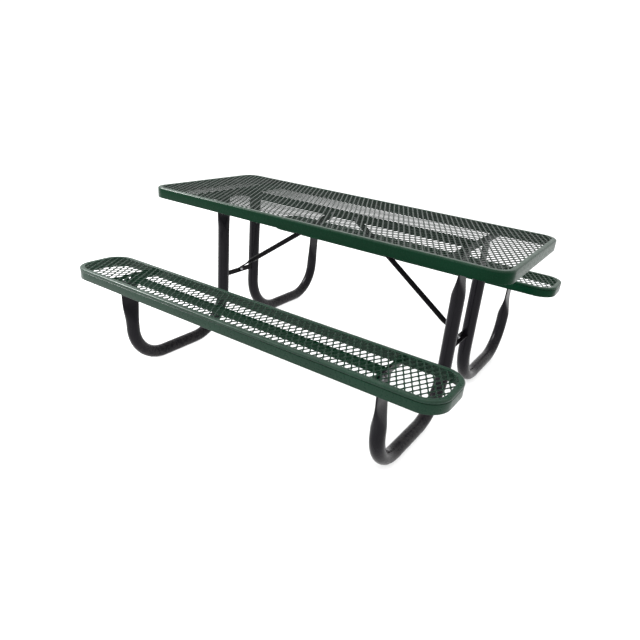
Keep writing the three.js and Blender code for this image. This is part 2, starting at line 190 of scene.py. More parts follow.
SPECKLE_GREEN = (0.01, 0.055, 0.03, 1)
RUBBED_GREEN = (0.03, 0.08, 0.055, 1)
# Painted shade: the colour that the faces inside the rims and the seams are darkened towards
SHADED_GREEN = (0.0002, 0.0045, 0.0018, 1)
DUST = (0.12, 0.14, 0.12, 1)
SPECK_GREY = (0.03, 0.029, 0.028, 1)
GRIME = (0.04, 0.035, 0.03, 1)
ZINC_DARK = (0.16, 0.165, 0.175, 1)
ZINC_LIGHT = (0.3, 0.3, 0.31, 1)
ZINC_HAZE = (0.12, 0.12, 0.115, 1)
FLOOR_REACH = 60.0
FLOOR_SHADES = ((0.89, 0.89, 0.89, 1), (0.91, 0.91, 0.91, 1))


class Graph:
    """A material's node tree, with short ways to add nodes and join them."""

    def __init__(self, name):
        self.material = bpy.data.materials.new(name)
        self.material.use_nodes = True
        self.tree = self.material.node_tree
        self.shader = self.tree.nodes["Principled BSDF"]
        coordinates = self.tree.nodes.new("ShaderNodeTexCoord")
        self.place = coordinates.outputs["Object"]

    def add(self, kind, inputs=None, **settings):
        node = self.tree.nodes.new(kind)
        for key, value in settings.items():
            setattr(node, key, value)
        for key, value in (inputs or {}).items():
            self.feed(node.inputs[key], value)
        return node

    def feed(self, socket, value):
        if isinstance(value, bpy.types.NodeSocket):
            self.tree.links.new(value, socket)
        else:
            socket.default_value = value

    def noise(self, scale, detail=3.0, roughness=0.5):
        inputs = {
            "Vector": self.place,
            "Scale": scale,
            "Detail": detail,
            "Roughness": roughness,
        }
        return self.add("ShaderNodeTexNoise", inputs).outputs["Fac"]

    def span(self, value, low, high, to_low, to_high):
        inputs = {
            "Value": value,
            "From Min": low,
            "From Max": high,
            "To Min": to_low,
            "To Max": to_high,
        }
        return self.add("ShaderNodeMapRange", inputs).outputs["Result"]

    def maths(self, operation, first, second):
        node = self.add("ShaderNodeMath", operation=operation)
        self.feed(node.inputs[0], first)
        self.feed(node.inputs[1], second)
        return node.outputs[0]

    def mix(self, share, first, second):
        node = self.add("ShaderNodeMix", data_type="RGBA")
        self.feed(node.inputs["Factor"], share)
        self.feed(node.inputs["A"], first)
        self.feed(node.inputs["B"], second)
        return node.outputs["Result"]

    def upward(self):
        geometry = self.add("ShaderNodeNewGeometry")
        axes = self.add("ShaderNodeSeparateXYZ", {"Vector": geometry.outputs["Normal"]})
        return axes.outputs["Z"]

    def attribute(self, name):
        return self.add("ShaderNodeAttribute", attribute_name=name).outputs["Fac"]

    def bump(self, layers):
        """Layers of (height, distance in metres), one on top of the other."""
        normal = None
        for height, distance in layers:
            node = self.add("ShaderNodeBump", {"Height": height, "Distance": distance})
            if normal:
                self.feed(node.inputs["Normal"], normal)
            normal = node.outputs["Normal"]
        return normal

    def finish(self, colour, roughness, normal, **constants):
        self.feed(self.shader.inputs["Base Color"], colour)
        self.feed(self.shader.inputs["Roughness"], roughness)
        self.feed(self.shader.inputs["Normal"], normal)
        for key, value in constants.items():
            self.shader.inputs[key.replace("_", " ")].default_value = value
        return self.material


def coated_green(name, dark, light, roughness, shine):
    """Thick dipped plastic: glossy, uneven, dusty on top, rubbed where the wear attribute is
    above 0, and darkened towards SHADED_GREEN by painted shade where it is below 0.
    """
    graph = Graph(name)
    clouds = graph.span(graph.noise(5.0, 4.0, 0.6), 0.3, 0.7, 0.0, 1.0)
    colour = graph.mix(clouds, dark, light)
    speckle = graph.span(graph.noise(260.0, 2.0), 0.62, 0.8, 0.0, 0.2)
    colour = graph.mix(speckle, colour, SPECKLE_GREEN)
    film = graph.span(graph.noise(38.0, 5.0, 0.7), 0.42, 0.75, 0.0, 0.16)
    dust = graph.maths("MULTIPLY", graph.span(graph.upward(), 0.2, 1.0, 0.0, 1.0), film)
    colour = graph.mix(dust, colour, DUST)
    rub = graph.span(graph.noise(120.0, 4.0, 0.7), 0.5, 0.68, 0.0, 0.18)
    worn = graph.maths("MULTIPLY", graph.maths("MAXIMUM", graph.attribute("wear_and_painted_shade"), 0.0), rub)
    colour = graph.mix(worn, colour, RUBBED_GREEN)
    # Painted shade: where the attribute is below 0 the colour turns towards SHADED_GREEN
    shade = graph.maths("MULTIPLY", graph.attribute("wear_and_painted_shade"), -0.8)
    colour = graph.mix(graph.maths("MAXIMUM", shade, 0.0), colour, SHADED_GREEN)
    gloss = graph.span(graph.noise(70.0, 3.0, 0.6), 0.3, 0.7, roughness - 0.06, roughness + 0.1)
    gloss = graph.maths("ADD", gloss, graph.maths("MULTIPLY", dust, 0.8))
    gloss = graph.maths("ADD", gloss, graph.maths("MULTIPLY", worn, 0.12))
    sags = graph.noise(24.0, 2.0)
    peel = graph.noise(520.0, 2.0)
    normal = graph.bump([(sags, 0.3 * MM), (peel, 0.04 * MM)])
    polish = graph.maths("MULTIPLY", graph.attribute("wear_and_painted_shade"), 0.09)
    graph.feed(graph.shader.inputs["Specular IOR Level"], graph.maths("ADD", polish, shine))
    return graph.finish(colour, gloss, normal)


def powder_black(name, dark, light, shine):
    """Semi-gloss powder coat with a faint purple cast, orange peel and scuffs near the ground."""
    graph = Graph(name)
    clouds = graph.span(graph.noise(7.0, 4.0, 0.6), 0.3, 0.7, 0.0, 1.0)
    colour = graph.mix(clouds, dark, light)
    specks = graph.span(graph.noise(420.0, 2.0), 0.66, 0.8, 0.0, 0.3)
    colour = graph.mix(specks, colour, SPECK_GREY)
    axes = graph.add("ShaderNodeSeparateXYZ", {"Vector": graph.place})
    near_ground = graph.span(axes.outputs["Z"], 0.02, 0.16, 1.0, 0.0)
    grime = graph.span(graph.noise(55.0, 5.0, 0.7), 0.4, 0.75, 0.0, 0.5)
    scuffs = graph.maths("MULTIPLY", near_ground, grime)
    colour = graph.mix(scuffs, colour, GRIME)
    gloss = graph.span(graph.noise(60.0, 3.0, 0.6), 0.3, 0.7, 0.16, 0.28)
    gloss = graph.maths("ADD", gloss, graph.maths("MULTIPLY", scuffs, 0.5))
    peel = graph.noise(700.0, 2.0)
    waves = graph.noise(30.0, 2.0)
    normal = graph.bump([(waves, 0.25 * MM), (peel, 0.02 * MM)])
    return graph.finish(colour, gloss, normal, Specular_IOR_Level=shine)


def zinc_plate(name):
    """Zinc plating: pale grey metal, mottled, with a random duller haze."""
    graph = Graph(name)
    cells = graph.add("ShaderNodeTexVoronoi", {"Vector": graph.place, "Scale": 900.0})
    tone = graph.span(cells.outputs["Distance"], 0.0, 0.8, 0.0, 1.0)
    colour = graph.mix(tone, ZINC_DARK, ZINC_LIGHT)
    haze = graph.span(graph.noise(300.0, 4.0, 0.7), 0.5, 0.75, 0.0, 0.5)
    colour = graph.mix(haze, colour, ZINC_HAZE)
    gloss = graph.span(graph.noise(450.0, 3.0), 0.3, 0.7, 0.3, 0.5)
    normal = graph.bump([(graph.noise(1500.0, 2.0), 0.03 * MM)])
    return graph.finish(colour, gloss, normal, Metallic=0.9)


# The front seat's rim: glossier, and paler as a painted reflection of the bright floor
PAINTED_REFLECTION_SEAT_GREEN = coated_green(
    "painted_reflection_seat_green", (0.0006, 0.021, 0.009, 1), (0.0014, 0.028, 0.0125, 1), 0.28, 0.2
)
FRAME_GREEN = coated_green(
    "frame_green", (0.0003, 0.0205, 0.0076, 1), (0.0009, 0.0265, 0.0108, 1), 0.24, 0.07
)
# The frame's coating made darker for the bars under the table top: painted shade
PAINTED_SHADE_BAR_GREEN = coated_green(
    "deep_green", (0.0002, 0.0065, 0.0026, 1), (0.0004, 0.0095, 0.004, 1), 0.32, 0.04
)
# The seats' sheet coating made darker for the table top, so its gaps look shaded: painted shade
PAINTED_SHADE_TOP_MESH_GREEN = coated_green(
    "painted_shade_top_mesh_green", (0.0003, 0.007, 0.003, 1), (0.0008, 0.012, 0.0055, 1), 0.26, 0.12
)
SEAT_MESH_GREEN = coated_green(
    "seat_mesh_green", (0.0006, 0.016, 0.0068, 1), (0.0015, 0.022, 0.0102, 1), 0.26, 0.12
)
TUBE_BLACK = powder_black(
    "tube_black", (0.0054, 0.0049, 0.0068, 1), (0.0084, 0.0077, 0.0102, 1), 0.1
)
IRON_BLACK = powder_black(
    "iron_black", (0.002, 0.0019, 0.0023, 1), (0.0036, 0.0034, 0.004, 1), 0.05
)
ZINC = zinc_plate("zinc")


# Mesh building


def add_piece(node, kind, points, faces, material, sharp, wear_and_painted_shade=None):
    """One shown piece in place of a node, shaded smooth except at sharp angles."""
    name = f"{node}_{kind}"
    mesh = bpy.data.meshes.new(name)
    mesh.from_pydata([tuple(point) for point in np.reshape(points, (-1, 3))], [], faces)
    mesh.polygons.foreach_set("use_smooth", [True] * len(mesh.polygons))
    # The attribute holds real wear above 0 and painted shade below 0
    if wear_and_painted_shade is not None:
        layer = mesh.attributes.new("wear_and_painted_shade", "FLOAT", "POINT")
        layer.data.foreach_set("value", np.asarray(wear_and_painted_shade, np.float32))
    solid = bmesh.new()
    solid.from_mesh(mesh)
    bmesh.ops.recalc_face_normals(solid, faces=solid.faces)
    solid.to_mesh(mesh)
    solid.free()
    if sharp:
        mesh.set_sharp_from_angle(angle=math.radians(sharp))
    mesh.materials.append(material)
    piece = bpy.data.objects.new(name, mesh)
    bpy.context.collection.objects.link(piece)
    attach(piece, "root")
    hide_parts(node)


def skin(rings, closed_way, first=0):
    """Quads between neighbouring rings of equal size, numbered from first."""
    count, sides = rings.shape[:2]
    faces = []
    for i in range(count if closed_way else count - 1):
        here, there = first + i * sides, first + ((i + 1) % count) * sides
        for j in range(sides):
            after = (j + 1) % sides
            faces.append((here + j, here + after, there + after, there + j))
    return faces


def capped_tube(rings, first=0):
    """A tube through the rings with a flat face at each end."""
    count, sides = rings.shape[:2]
    faces = skin(rings, False, first)
    last = first + (count - 1) * sides
    faces.append(tuple(range(first + sides - 1, first - 1, -1)))
    faces.append(tuple(range(last, last + sides)))
    return faces


class Batch:
    """Several closed bodies gathered into one piece."""

    def __init__(self):
        self.points = []
        self.faces = []

    def add_tube(self, rings):
        self.faces += capped_tube(rings, len(self.points))
        self.points += [tuple(point) for point in rings.reshape(-1, 3)]


def unit(vector):
    return vector / np.linalg.norm(vector)


def arc(centre, radius, start, stop, steps):
    """Points of an arc, angles in degrees, both ends included."""
    angles = np.radians(np.linspace(start, stop, steps + 1))
    x, y = centre
    return [(x + radius * math.cos(a), y + radius * math.sin(a)) for a in angles]


# Rims


def rim_section(depth, has_seam):
    """Points of (distance in from the outer face, height below the top), both negative."""
    face = -SKIRT_SETBACK if has_seam else 0
    skirt_end, roll_start = SEAM_ANGLES
    points = arc((face - LIP_RADIUS, -depth + LIP_RADIUS), LIP_RADIUS, -90, 0, 4)
    if has_seam:
        ledge = (face - LIP_RADIUS, -SEAM_DROP - SKIRT_LEDGE)
        points += arc(ledge, LIP_RADIUS, 0, skirt_end, 3)
        points.append((-SEAM_DEPTH, -SEAM_DROP))
        points += arc((-ROLL_RADIUS, -ROLL_RADIUS), ROLL_RADIUS, roll_start, 90, 12)
    else:
        points += arc((-RIM_SHOULDER, -RIM_SHOULDER), RIM_SHOULDER, 0, 90, 8)
    edge, fillet = FLANGE_EDGE, FLANGE_FILLET
    points += arc((-RIM_FLANGE + edge, -edge), edge, 90, 180, 3)
    points += arc((-RIM_FLANGE + edge, -RIM_THICKNESS + edge), edge, 180, 270, 3)
    points += arc((-RIM_THICKNESS - fillet, -RIM_THICKNESS - fillet), fillet, 90, 0, 4)
    points += arc((-RIM_THICKNESS + LIP_RADIUS, -depth + LIP_RADIUS), LIP_RADIUS, 180, 270, 4)
    return points


def rim_stations(half_x, half_y, corner):
    """Places round a rounded rectangle: (point on its corner centre line, way out)."""
    stations = []
    turns = [(0, 1, 1), (1, -1, 1), (2, -1, -1), (3, 1, -1)]
    for quarter, sign_x, sign_y in turns:
        centre = np.array([sign_x * (half_x - corner), sign_y * (half_y - corner)])
        for step in range(CORNER_STEPS + 1):
            angle = (quarter + step / CORNER_STEPS) * math.pi / 2
            stations.append((centre, np.array([math.cos(angle), math.sin(angle)])))
        side = half_x if quarter % 2 == 0 else half_y
        length = 2 * (side - corner)
        next_x, next_y = turns[(quarter + 1) % 4][1:]
        goal = np.array([next_x * (half_x - corner), next_y * (half_y - corner)])
        pieces = max(int(length / STRAIGHT_STEP), 1)
        for step in range(1, pieces):
            stations.append((centre + (goal - centre) * step / pieces, stations[-1][1]))
    return stations


def rim_wear_and_painted_shade(inwards, height, shade):
    """1 on the worn shoulder; below 0 where shade is painted, in the seam and on the faces inside
    the rim.
    """
    if height > -RIM_SHOULDER and inwards > -RIM_FLANGE:
        return 1.0
    # Painted shade: a dark line along the seam's crease
    if (inwards, height) == (-SEAM_DEPTH, -SEAM_DROP):
        return -1.0
    # Painted shade on the faces inside the rim, which the sheet above keeps from the light
    return -shade if inwards < -SHADE_START else 0.0


def make_rim(prefix, corner, has_seam):
    low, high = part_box(f"{prefix}_rim")
    centre = (low + high) / 2
    size = high - low
    section = rim_section(size.z, has_seam)
    rings, wear_and_painted_shade = [], []
    for place, outward in rim_stations(size.x / 2, size.y / 2, corner):
        ring = []
        for inwards, height in section:
            spot = place + outward * (corner + inwards)
            ring.append((centre.x + spot[0], centre.y + spot[1], high.z + height))
            wear_and_painted_shade.append(rim_wear_and_painted_shade(inwards, height, SEAT_SHADE if has_seam else TOP_SHADE))
        rings.append(ring)
    rings = np.array(rings)
    faces = skin(rings, True)
    # The front seat's rim is glossier than the other rims, and a little paler: a painted
    # reflection of the bright floor
    look = PAINTED_REFLECTION_SEAT_GREEN if prefix == "front_seat" else FRAME_GREEN
    add_piece(f"{prefix}_rim", "coated", rings, faces, look, SHARP_ANGLE, wear_and_painted_shade)


# Expanded steel


def inside_outline(points, half, corner, inset):
    """Moves what lies outside a rounded rectangle onto it. Works on an array of x, y."""
    reach = np.array(half) - inset
    bend = corner - inset
    signs, spots = np.sign(points), np.minimum(np.abs(points), reach)
    over = spots - (reach - bend)
    length = np.linalg.norm(over, axis=-1, keepdims=True)
    outside = (over > 0).all(axis=-1, keepdims=True) & (length > bend)
    pulled = reach - bend + over * bend / np.maximum(length, 1e-9)
    return signs * np.where(outside, pulled, spots)


def diamond_ring(half_x, half_y):
    """Twelve points round a diamond: each tip, and a point a share along from it each way."""
    tips = np.array([(half_x, 0), (0, half_y), (-half_x, 0), (0, -half_y)])
    ring = []
    for i in range(4):
        before, tip, after = tips[i - 1], tips[i], tips[(i + 1) % 4]
        ring.append(tip + (before - tip) * DIAMOND_TIP)
        ring.append(tip)
        ring.append(tip + (after - tip) * DIAMOND_TIP)
    return np.array(ring)


def opening_ring(pitch, inset, strand):
    """The strand's edge round one opening: the diamond moved in, its tips rounded off."""
    half_x, half_y = pitch[0] / 2, pitch[1] / 2
    slant = math.hypot(half_x, half_y)
    ring = diamond_ring(half_x - inset * slant / half_y, half_y - inset * slant / half_x)
    share = min(inset / (strand / 2), 1.0)
    for i, blunt in TIP_BLUNTING:
        middle = (ring[i - 1] + ring[i + 1]) / 2
        ring[i] = ring[i] + (middle - ring[i]) * blunt * share
    return ring


def cell_centres(half, pitch, phase):
    centres = []
    columns = int(half[0] / pitch[0]) * 2 + 2
    rows = int(half[1] / pitch[1]) * 2 + 2
    for i in range(-columns, columns + 1):
        for j in range(-rows, rows + 1):
            if (i + j) % 2 == 0:
                centres.append((phase[0] + i * pitch[0] / 2, phase[1] + j * pitch[1] / 2))
    return np.array(centres)


def area_of(ring):
    x, y = ring[..., 0], ring[..., 1]
    return 0.5 * np.abs((x * np.roll(y, -1, -1) - y * np.roll(x, -1, -1)).sum(-1))


def make_sheet(prefix, corner, pitch, phase, strand):
    """Strands with rounded sections round every opening, tucked into the rim's flange."""
    rim_low, rim_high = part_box(f"{prefix}_rim")
    low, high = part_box(f"{prefix}_mesh")
    centre = (low + high) / 2
    tuck = RIM_FLANGE - SHEET_TUCK
    half = [(rim_high.x - rim_low.x) / 2 - tuck, (rim_high.y - rim_low.y) / 2 - tuck]
    bend = corner - tuck
    centres = cell_centres(half, pitch, phase)
    crest = diamond_ring(pitch[0] / 2, pitch[1] / 2)
    share, rise = STRAND_SHOULDER
    levels = [
        (crest, 0.0, 1.0),
        (opening_ring(pitch, share * strand, strand), MARGIN_SHOULDER, rise),
        (opening_ring(pitch, 0.5 * strand, strand), MARGIN_WIDTH, 0.0),
    ]
    rings = [
        inside_outline(centres[:, None, :] + ring, half, bend, inset) for ring, inset, _ in levels
    ]
    kept = area_of(rings[0]) > LEAST_CELL * area_of(crest)
    rings = [ring[kept] for ring in rings]
    is_open = area_of(rings[2]) > LEAST_OPENING * area_of(levels[2][0])
    sheet = SheetMesh(centre, high.z - STRAND_THICKNESS / 2)
    for number, opened in enumerate(is_open):
        sheet.add_cell([ring[number] for ring in rings], [rise for _, _, rise in levels], opened)
    sheet.close_border()
    # The table top's sheet gets the darker copy: painted shade in its gaps
    look = PAINTED_SHADE_TOP_MESH_GREEN if prefix == "top" else SEAT_MESH_GREEN
    node = f"{prefix}_mesh"
    add_piece(node, "expanded", sheet.points, sheet.faces, look, None)


class SheetMesh:
    """Vertices and faces of a sheet of strands, made one diamond cell at a time."""

    def __init__(self, centre, middle):
        self.centre = centre
        self.middle = middle
        self.points = []
        self.faces = []
        self.shared = {}
        self.border = {}

    def vertex(self, spot, rise):
        place = (
            self.centre.x + spot[0],
            self.centre.y + spot[1],
            self.middle + rise * STRAND_THICKNESS / 2,
        )
        key = tuple(round(value, 6) for value in place)
        if key not in self.shared:
            self.shared[key] = len(self.points)
            self.points.append(place)
        return self.shared[key]

    def ring(self, spots, rise):
        return [self.vertex(spot, rise) for spot in spots]

    def face(self, corners):
        distinct = [c for i, c in enumerate(corners) if c != corners[i - 1]]
        if len(set(distinct)) == len(distinct) and len(distinct) > 2:
            self.faces.append(tuple(distinct))

    def band(self, outer, inner):
        for i, here in enumerate(outer):
            after = (i + 1) % len(outer)
            self.face([here, outer[after], inner[after], inner[i]])

    def add_cell(self, rings, rises, opened):
        top = self.ring(rings[0], rises[0])
        bottom = self.ring(rings[0], -rises[0])
        self.note_border(top, bottom)
        if not opened:
            self.face(top)
            self.face(bottom[::-1])
            return
        above = [top] + [self.ring(ring, rise) for ring, rise in zip(rings[1:], rises[1:])]
        below = [bottom] + [self.ring(ring, -rise) for ring, rise in zip(rings[1:], rises[1:])]
        for outer, inner in zip(above, above[1:]):
            self.band(outer, inner)
        for outer, inner in zip(below, below[1:]):
            self.band(outer[::-1], inner[::-1])

    def note_border(self, top, bottom):
        for i in range(len(top)):
            pair = (top[i - 1], top[i])
            if pair[0] == pair[1]:
                continue
            if pair[::-1] in self.border:
                del self.border[pair[::-1]]
            else:
                self.border[pair] = (bottom[i - 1], bottom[i])

    def close_border(self):
        for (first, second), (below_first, below_second) in self.border.items():
            self.face([first, below_first, below_second, second])


# Tubes


def smooth(value):
    clamped = np.clip(value, 0, 1)
    return clamped * clamped * (3 - 2 * clamped)


def lerp(first, second, share):
    return first + (second - first) * share


def rounded_route(corners, radii):
    """Points along straight lines with a round bend at each inner corner, in a plane."""
    corners = [np.array(corner, float) for corner in corners]
    route = [corners[0]]
    for before, corner, after, radius in zip(corners, corners[1:], corners[2:], radii):
        into, out = unit(corner - before), unit(after - corner)
        turn = math.atan2(into[0] * out[1] - into[1] * out[0], into @ out)
        setback = radius * math.tan(abs(turn) / 2)
        start = corner - into * setback
        centre = start + np.array([-into[1], into[0]]) * math.copysign(radius, turn)
        spoke = start - centre
        steps = max(int(abs(turn) * radius / TUBE_STEP), 6)
        for step in range(steps + 1):
            angle = turn * step / steps
            cos, sin = math.cos(angle), math.sin(angle)
            swung = (cos * spoke[0] - sin * spoke[1], sin * spoke[0] + cos * spoke[1])
            route.append(centre + swung)
    route.append(corners[-1])
    return refined(route, TUBE_STEP)


def refined(route, longest):
    """The same route, with no step longer than the longest one allowed."""
    fine = [route[0]]
    for start, end in zip(route, route[1:]):
        steps = max(math.ceil(np.linalg.norm(end - start) / longest), 1)
        fine += [start + (end - start) * step / steps for step in range(1, steps + 1)]
    return np.array(fine)


def distances_along(route):
    steps = np.linalg.norm(np.diff(route, axis=0), axis=1)
    return np.concatenate([[0], np.cumsum(steps)])


def headings_along(route):
    headings = np.gradient(route, distances_along(route), axis=0)
    return headings / np.linalg.norm(headings, axis=1, keepdims=True)


def section_ring(centre, axis_u, axis_v, reach_u, reach_v, power, sides):
    angles = np.arange(sides) * 2 * math.pi / sides
    cos, sin = np.cos(angles), np.sin(angles)
    across = np.sign(cos) * np.abs(cos) ** power * reach_u
    along = np.sign(sin) * np.abs(sin) ** power * reach_v
    return centre + np.outer(across, axis_u) + np.outer(along, axis_v)


def pressed_at(distance, press):
    """1 where a tube is flat, 0 where it is round, at a distance from its end."""
    flat, taper = press
    return 1 - smooth((distance - flat) / taper)


def make_leg(row, side):
    """One bent tube: post, ground run and seat leg, pressed flat at both ends."""
    node = f"leg_{row}_{side}"
    low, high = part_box(node)
    plane = (low.x + high.x) / 2
    radius = (high.x - low.x) / 2
    seat_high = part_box(f"{row}_seat_rim")[1]
    top_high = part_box("top_rim")[1]
    bolt_low, bolt_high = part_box(f"bolt_top_{row}_{side}")
    direction = -1 if row == "front" else 1
    post = abs(bolt_low.y + bolt_high.y) / 2
    seat_end = seat_high.z - (top_high.z - high.z)
    lean = (SEAT_LEG_Y - FOOT_Y) / (seat_high.z - radius)
    corners = [
        (post, high.z),
        (post, radius),
        (FOOT_Y, radius),
        (FOOT_Y + lean * (seat_end - radius), seat_end),
    ]
    route = rounded_route(corners, [POST_BEND, SEAT_BEND])
    distances = distances_along(route)
    rings = []
    across = np.array([1.0, 0.0, 0.0])
    for spot, heading, distance in zip(route, headings_along(route), distances):
        press = max(
            pressed_at(distance, TOP_PRESS), pressed_at(distances[-1] - distance, SEAT_PRESS)
        )
        tangent = np.array([0.0, direction * heading[0], heading[1]])
        rings.append(section_ring(
            np.array([plane, direction * spot[0], spot[1]]),
            across,
            np.cross(tangent, across),
            lerp(radius, LEG_FLAT[0], press),
            lerp(radius, LEG_FLAT[1], press),
            lerp(1, PRESS_SQUARENESS, press),
            LEG_SIDES,
        ))
    faces = capped_tube(np.array(rings))
    add_piece(node, "tube", rings, faces, TUBE_BLACK, SHARP_ANGLE)


# Bars


def slab_ring(centre, axis_u, axis_v, half_u, half_v):
    """A rectangle with rounded corners round a centre."""
    ring = []
    for sign_u, sign_v, start in ((1, 1, 0), (-1, 1, 90), (-1, -1, 180), (1, -1, 270)):
        inner = (sign_u * (half_u - BAR_ROUNDING), sign_v * (half_v - BAR_ROUNDING))
        for u, v in arc(inner, BAR_ROUNDING, start, start + 90, 3):
            ring.append(centre + axis_u * u + axis_v * v)
    return ring


def bead_rings(path, radius):
    """A weld bead along a path: a ripple-backed cord, drawn in at both ends."""
    path = refined(np.array(path), BEAD_STEP)
    distances = distances_along(path)
    headings = headings_along(path)
    rings = []
    for spot, heading, distance in zip(path, headings, distances):
        side = unit(np.cross(heading, OFF_AXIS))
        ripple = RIPPLE_DEPTH * abs(math.sin(math.pi * distance / BEAD_RIPPLE))
        from_end = min(distance, distances[-1] - distance) / radius
        rounded = math.sqrt(1 - max(1 - from_end, 0) ** 2)
        reach = radius * (1 - RIPPLE_DEPTH + ripple) * max(rounded, BEAD_LEAST_REACH)
        reach *= random.uniform(1 - BEAD_UNEVENNESS, 1.0)
        up = np.cross(heading, side)
        rings.append(section_ring(spot, side, up, reach, reach, 1, BEAD_SIDES))
    return np.array(rings)


def make_bar(node):
    """A flat bar on edge with rolled edges, welded to what its two ends meet."""
    low, high = (np.array(corner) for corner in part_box(node))
    size, centre = high - low, (low + high) / 2
    lengthwise = int(np.argmax(size[:2]))
    along, across, up = np.eye(3)[lengthwise], np.eye(3)[1 - lengthwise], np.eye(3)[2]
    half_length, half_thickness = size[lengthwise] / 2, size[1 - lengthwise] / 2
    rings = []
    for share in np.linspace(-1, 1, BAR_STATIONS):
        draw = BAR_END_DRAW if abs(share) == 1 else 0
        middle = centre + along * share * half_length
        rings.append(slab_ring(middle, across, up, half_thickness - draw, size[2] / 2 - draw))
    batch = Batch()
    batch.add_tube(np.array(rings))
    back, out = BEAD_LINE
    for end in (-1, 1):
        for face in (-1, 1):
            middle = centre + along * end * (half_length - back)
            middle = middle + across * face * (half_thickness + out)
            reach = up * (size[2] / 2 - 2 * BEAD_RADIUS)
            batch.add_tube(bead_rings([middle - reach, middle + reach], BEAD_RADIUS))
    # The bars under the table top get the darker copy: painted shade
    coat = PAINTED_SHADE_BAR_GREEN if node.startswith("top_") else FRAME_GREEN
    add_piece(node, "welded", batch.points, batch.faces, coat, SHARP_ANGLE)


# Ties


def tie_section(half_height, depth):
    """Points of (outwards from the upright leg's back, height) round an angle."""
    outer, inner, edge = TIE_ROUNDING, TIE_ROUNDING - TIE_THICKNESS, TIE_EDGE
    points = arc((outer, outer - half_height), outer, 180, 270, 6)
    points += arc((depth - edge, edge - half_height), edge, 270, 360, 2)
    points += arc((depth - edge, TIE_THICKNESS - edge - half_height), edge, 0, 90, 2)
    points += arc((outer, outer - half_height), inner, 270, 180, 3)
    points += arc((TIE_THICKNESS - edge, half_height - edge), edge, 0, 90, 2)
    points += arc((edge, half_height - edge), edge, 90, 180, 2)
    return points


def make_tie(side):
    """An angle from post to post, its ends cut to the round tubes and welded."""
    node = f"post_tie_{side}"
    low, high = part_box(node)
    leg_low, leg_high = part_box(f"leg_front_{side}")
    bolt_low, bolt_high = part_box(f"bolt_top_front_{side}")
    outwards = 1 if side == "right" else -1
    plane = (leg_low.x + leg_high.x) / 2
    post = abs(bolt_low.y + bolt_high.y) / 2
    tube = (leg_high.x - leg_low.x) / 2 + COPE_GAP
    back = low.x if side == "right" else high.x
    middle = (low.z + high.z) / 2

    def end_at(x):
        return post - math.sqrt(tube * tube - (x - plane) ** 2)

    section = tie_section((high.z - low.z) / 2, high.x - low.x)
    rings = []
    for share in np.linspace(-1, 1, TIE_STATIONS):
        ring = []
        for out, height in section:
            x = back + outwards * out
            ring.append((x, share * end_at(x), middle + height))
        rings.append(ring)
    batch = Batch()
    batch.add_tube(np.array(rings))
    for end in (-1, 1):
        outline = section[-1:] + section[:TIE_HEEL_POINTS]
        far = TIE_BEAD_REACH * (high.x - low.x)
        reach = np.linspace(TIE_ROUNDING, far, TIE_BEAD_STEPS + 1)
        outline += [(out, outline[-1][1]) for out in reach[1:]]
        path = []
        for out, height in outline:
            x = back + outwards * out
            path.append((x, end * end_at(x), middle + height))
        batch.add_tube(bead_rings(path, BEAD_RADIUS))
    add_piece(node, "angle", batch.points, batch.faces, IRON_BLACK, SHARP_ANGLE)


# Diagonal braces


def make_brace(side):
    """A round tube with flat ends: bent down against the tie, upright beside the long bar."""
    node = f"diagonal_brace_{side}"
    low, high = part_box(node)
    head_low, head_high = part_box(f"bolt_brace_head_{side}")
    foot_low, foot_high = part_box(f"bolt_brace_foot_{side}")
    bar_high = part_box("top_long_bar")[1]
    sign = 1 if side == "right" else -1
    thin, wide = BRACE_FLAT
    outer = high.x if side == "right" else -low.x
    tab = outer - thin
    offset = -(bar_high.y + COPE_GAP + thin)
    bend = np.array([tab, (foot_low.z + foot_high.z) / 2 + BRACE_TAB_RISE])
    bolt = np.array([abs(head_low.x + head_high.x) / 2, (head_low.z + head_high.z) / 2])
    tip = bolt + unit(bolt - bend) * BRACE_TIP
    route = rounded_route([(tab, low.z), bend, tip], [BRACE_BEND])
    distances = distances_along(route)
    across = np.array([0.0, 1.0, 0.0])
    rings = []
    for spot, heading, distance in zip(route, headings_along(route), distances):
        left = distances[-1] - distance
        lower = pressed_at(distance, BRACE_LOWER_PRESS)
        upper = pressed_at(left, BRACE_UPPER_PRESS)
        tipped = smooth((BRACE_TIP - left) / BRACE_TIP)
        ring = section_ring(
            np.array([spot[0], offset, spot[1]]),
            across,
            np.cross(np.array([heading[0], 0.0, heading[1]]), across),
            lerp(lerp(BRACE_RADIUS, wide, lower), thin, upper),
            lerp(lerp(BRACE_RADIUS, thin, lower), lerp(wide, BRACE_TIP_WIDTH, tipped), upper),
            lerp(1, PRESS_SQUARENESS, max(lower, upper)),
            BRACE_SIDES,
        )
        rings.append(ring * (sign, sign, 1))
    faces = capped_tube(np.array(rings))
    add_piece(node, "tube", rings, faces, IRON_BLACK, SHARP_ANGLE)


# Fasteners


def hex_reach(angle, radius):
    """How far a hexagon with its corners at this radius reaches at an angle from a corner."""
    apothem = radius * math.cos(math.pi / 6)
    turned = angle % (math.pi / 3) - math.pi / 6
    return apothem / math.cos(turned)


def hex_profile(height, both_ends):
    """(height, widest reach) at each ring of a hexagon whose corners are chamfered."""
    near = []
    for level in CHAMFER_LEVELS:
        near.append((level * MM, HEX_FACE * HEX_RADIUS + level * MM * math.sqrt(3)))
    if both_ends:
        return near + [(height - level, reach) for level, reach in near[::-1]]
    return near + [(height, HEX_RADIUS)]


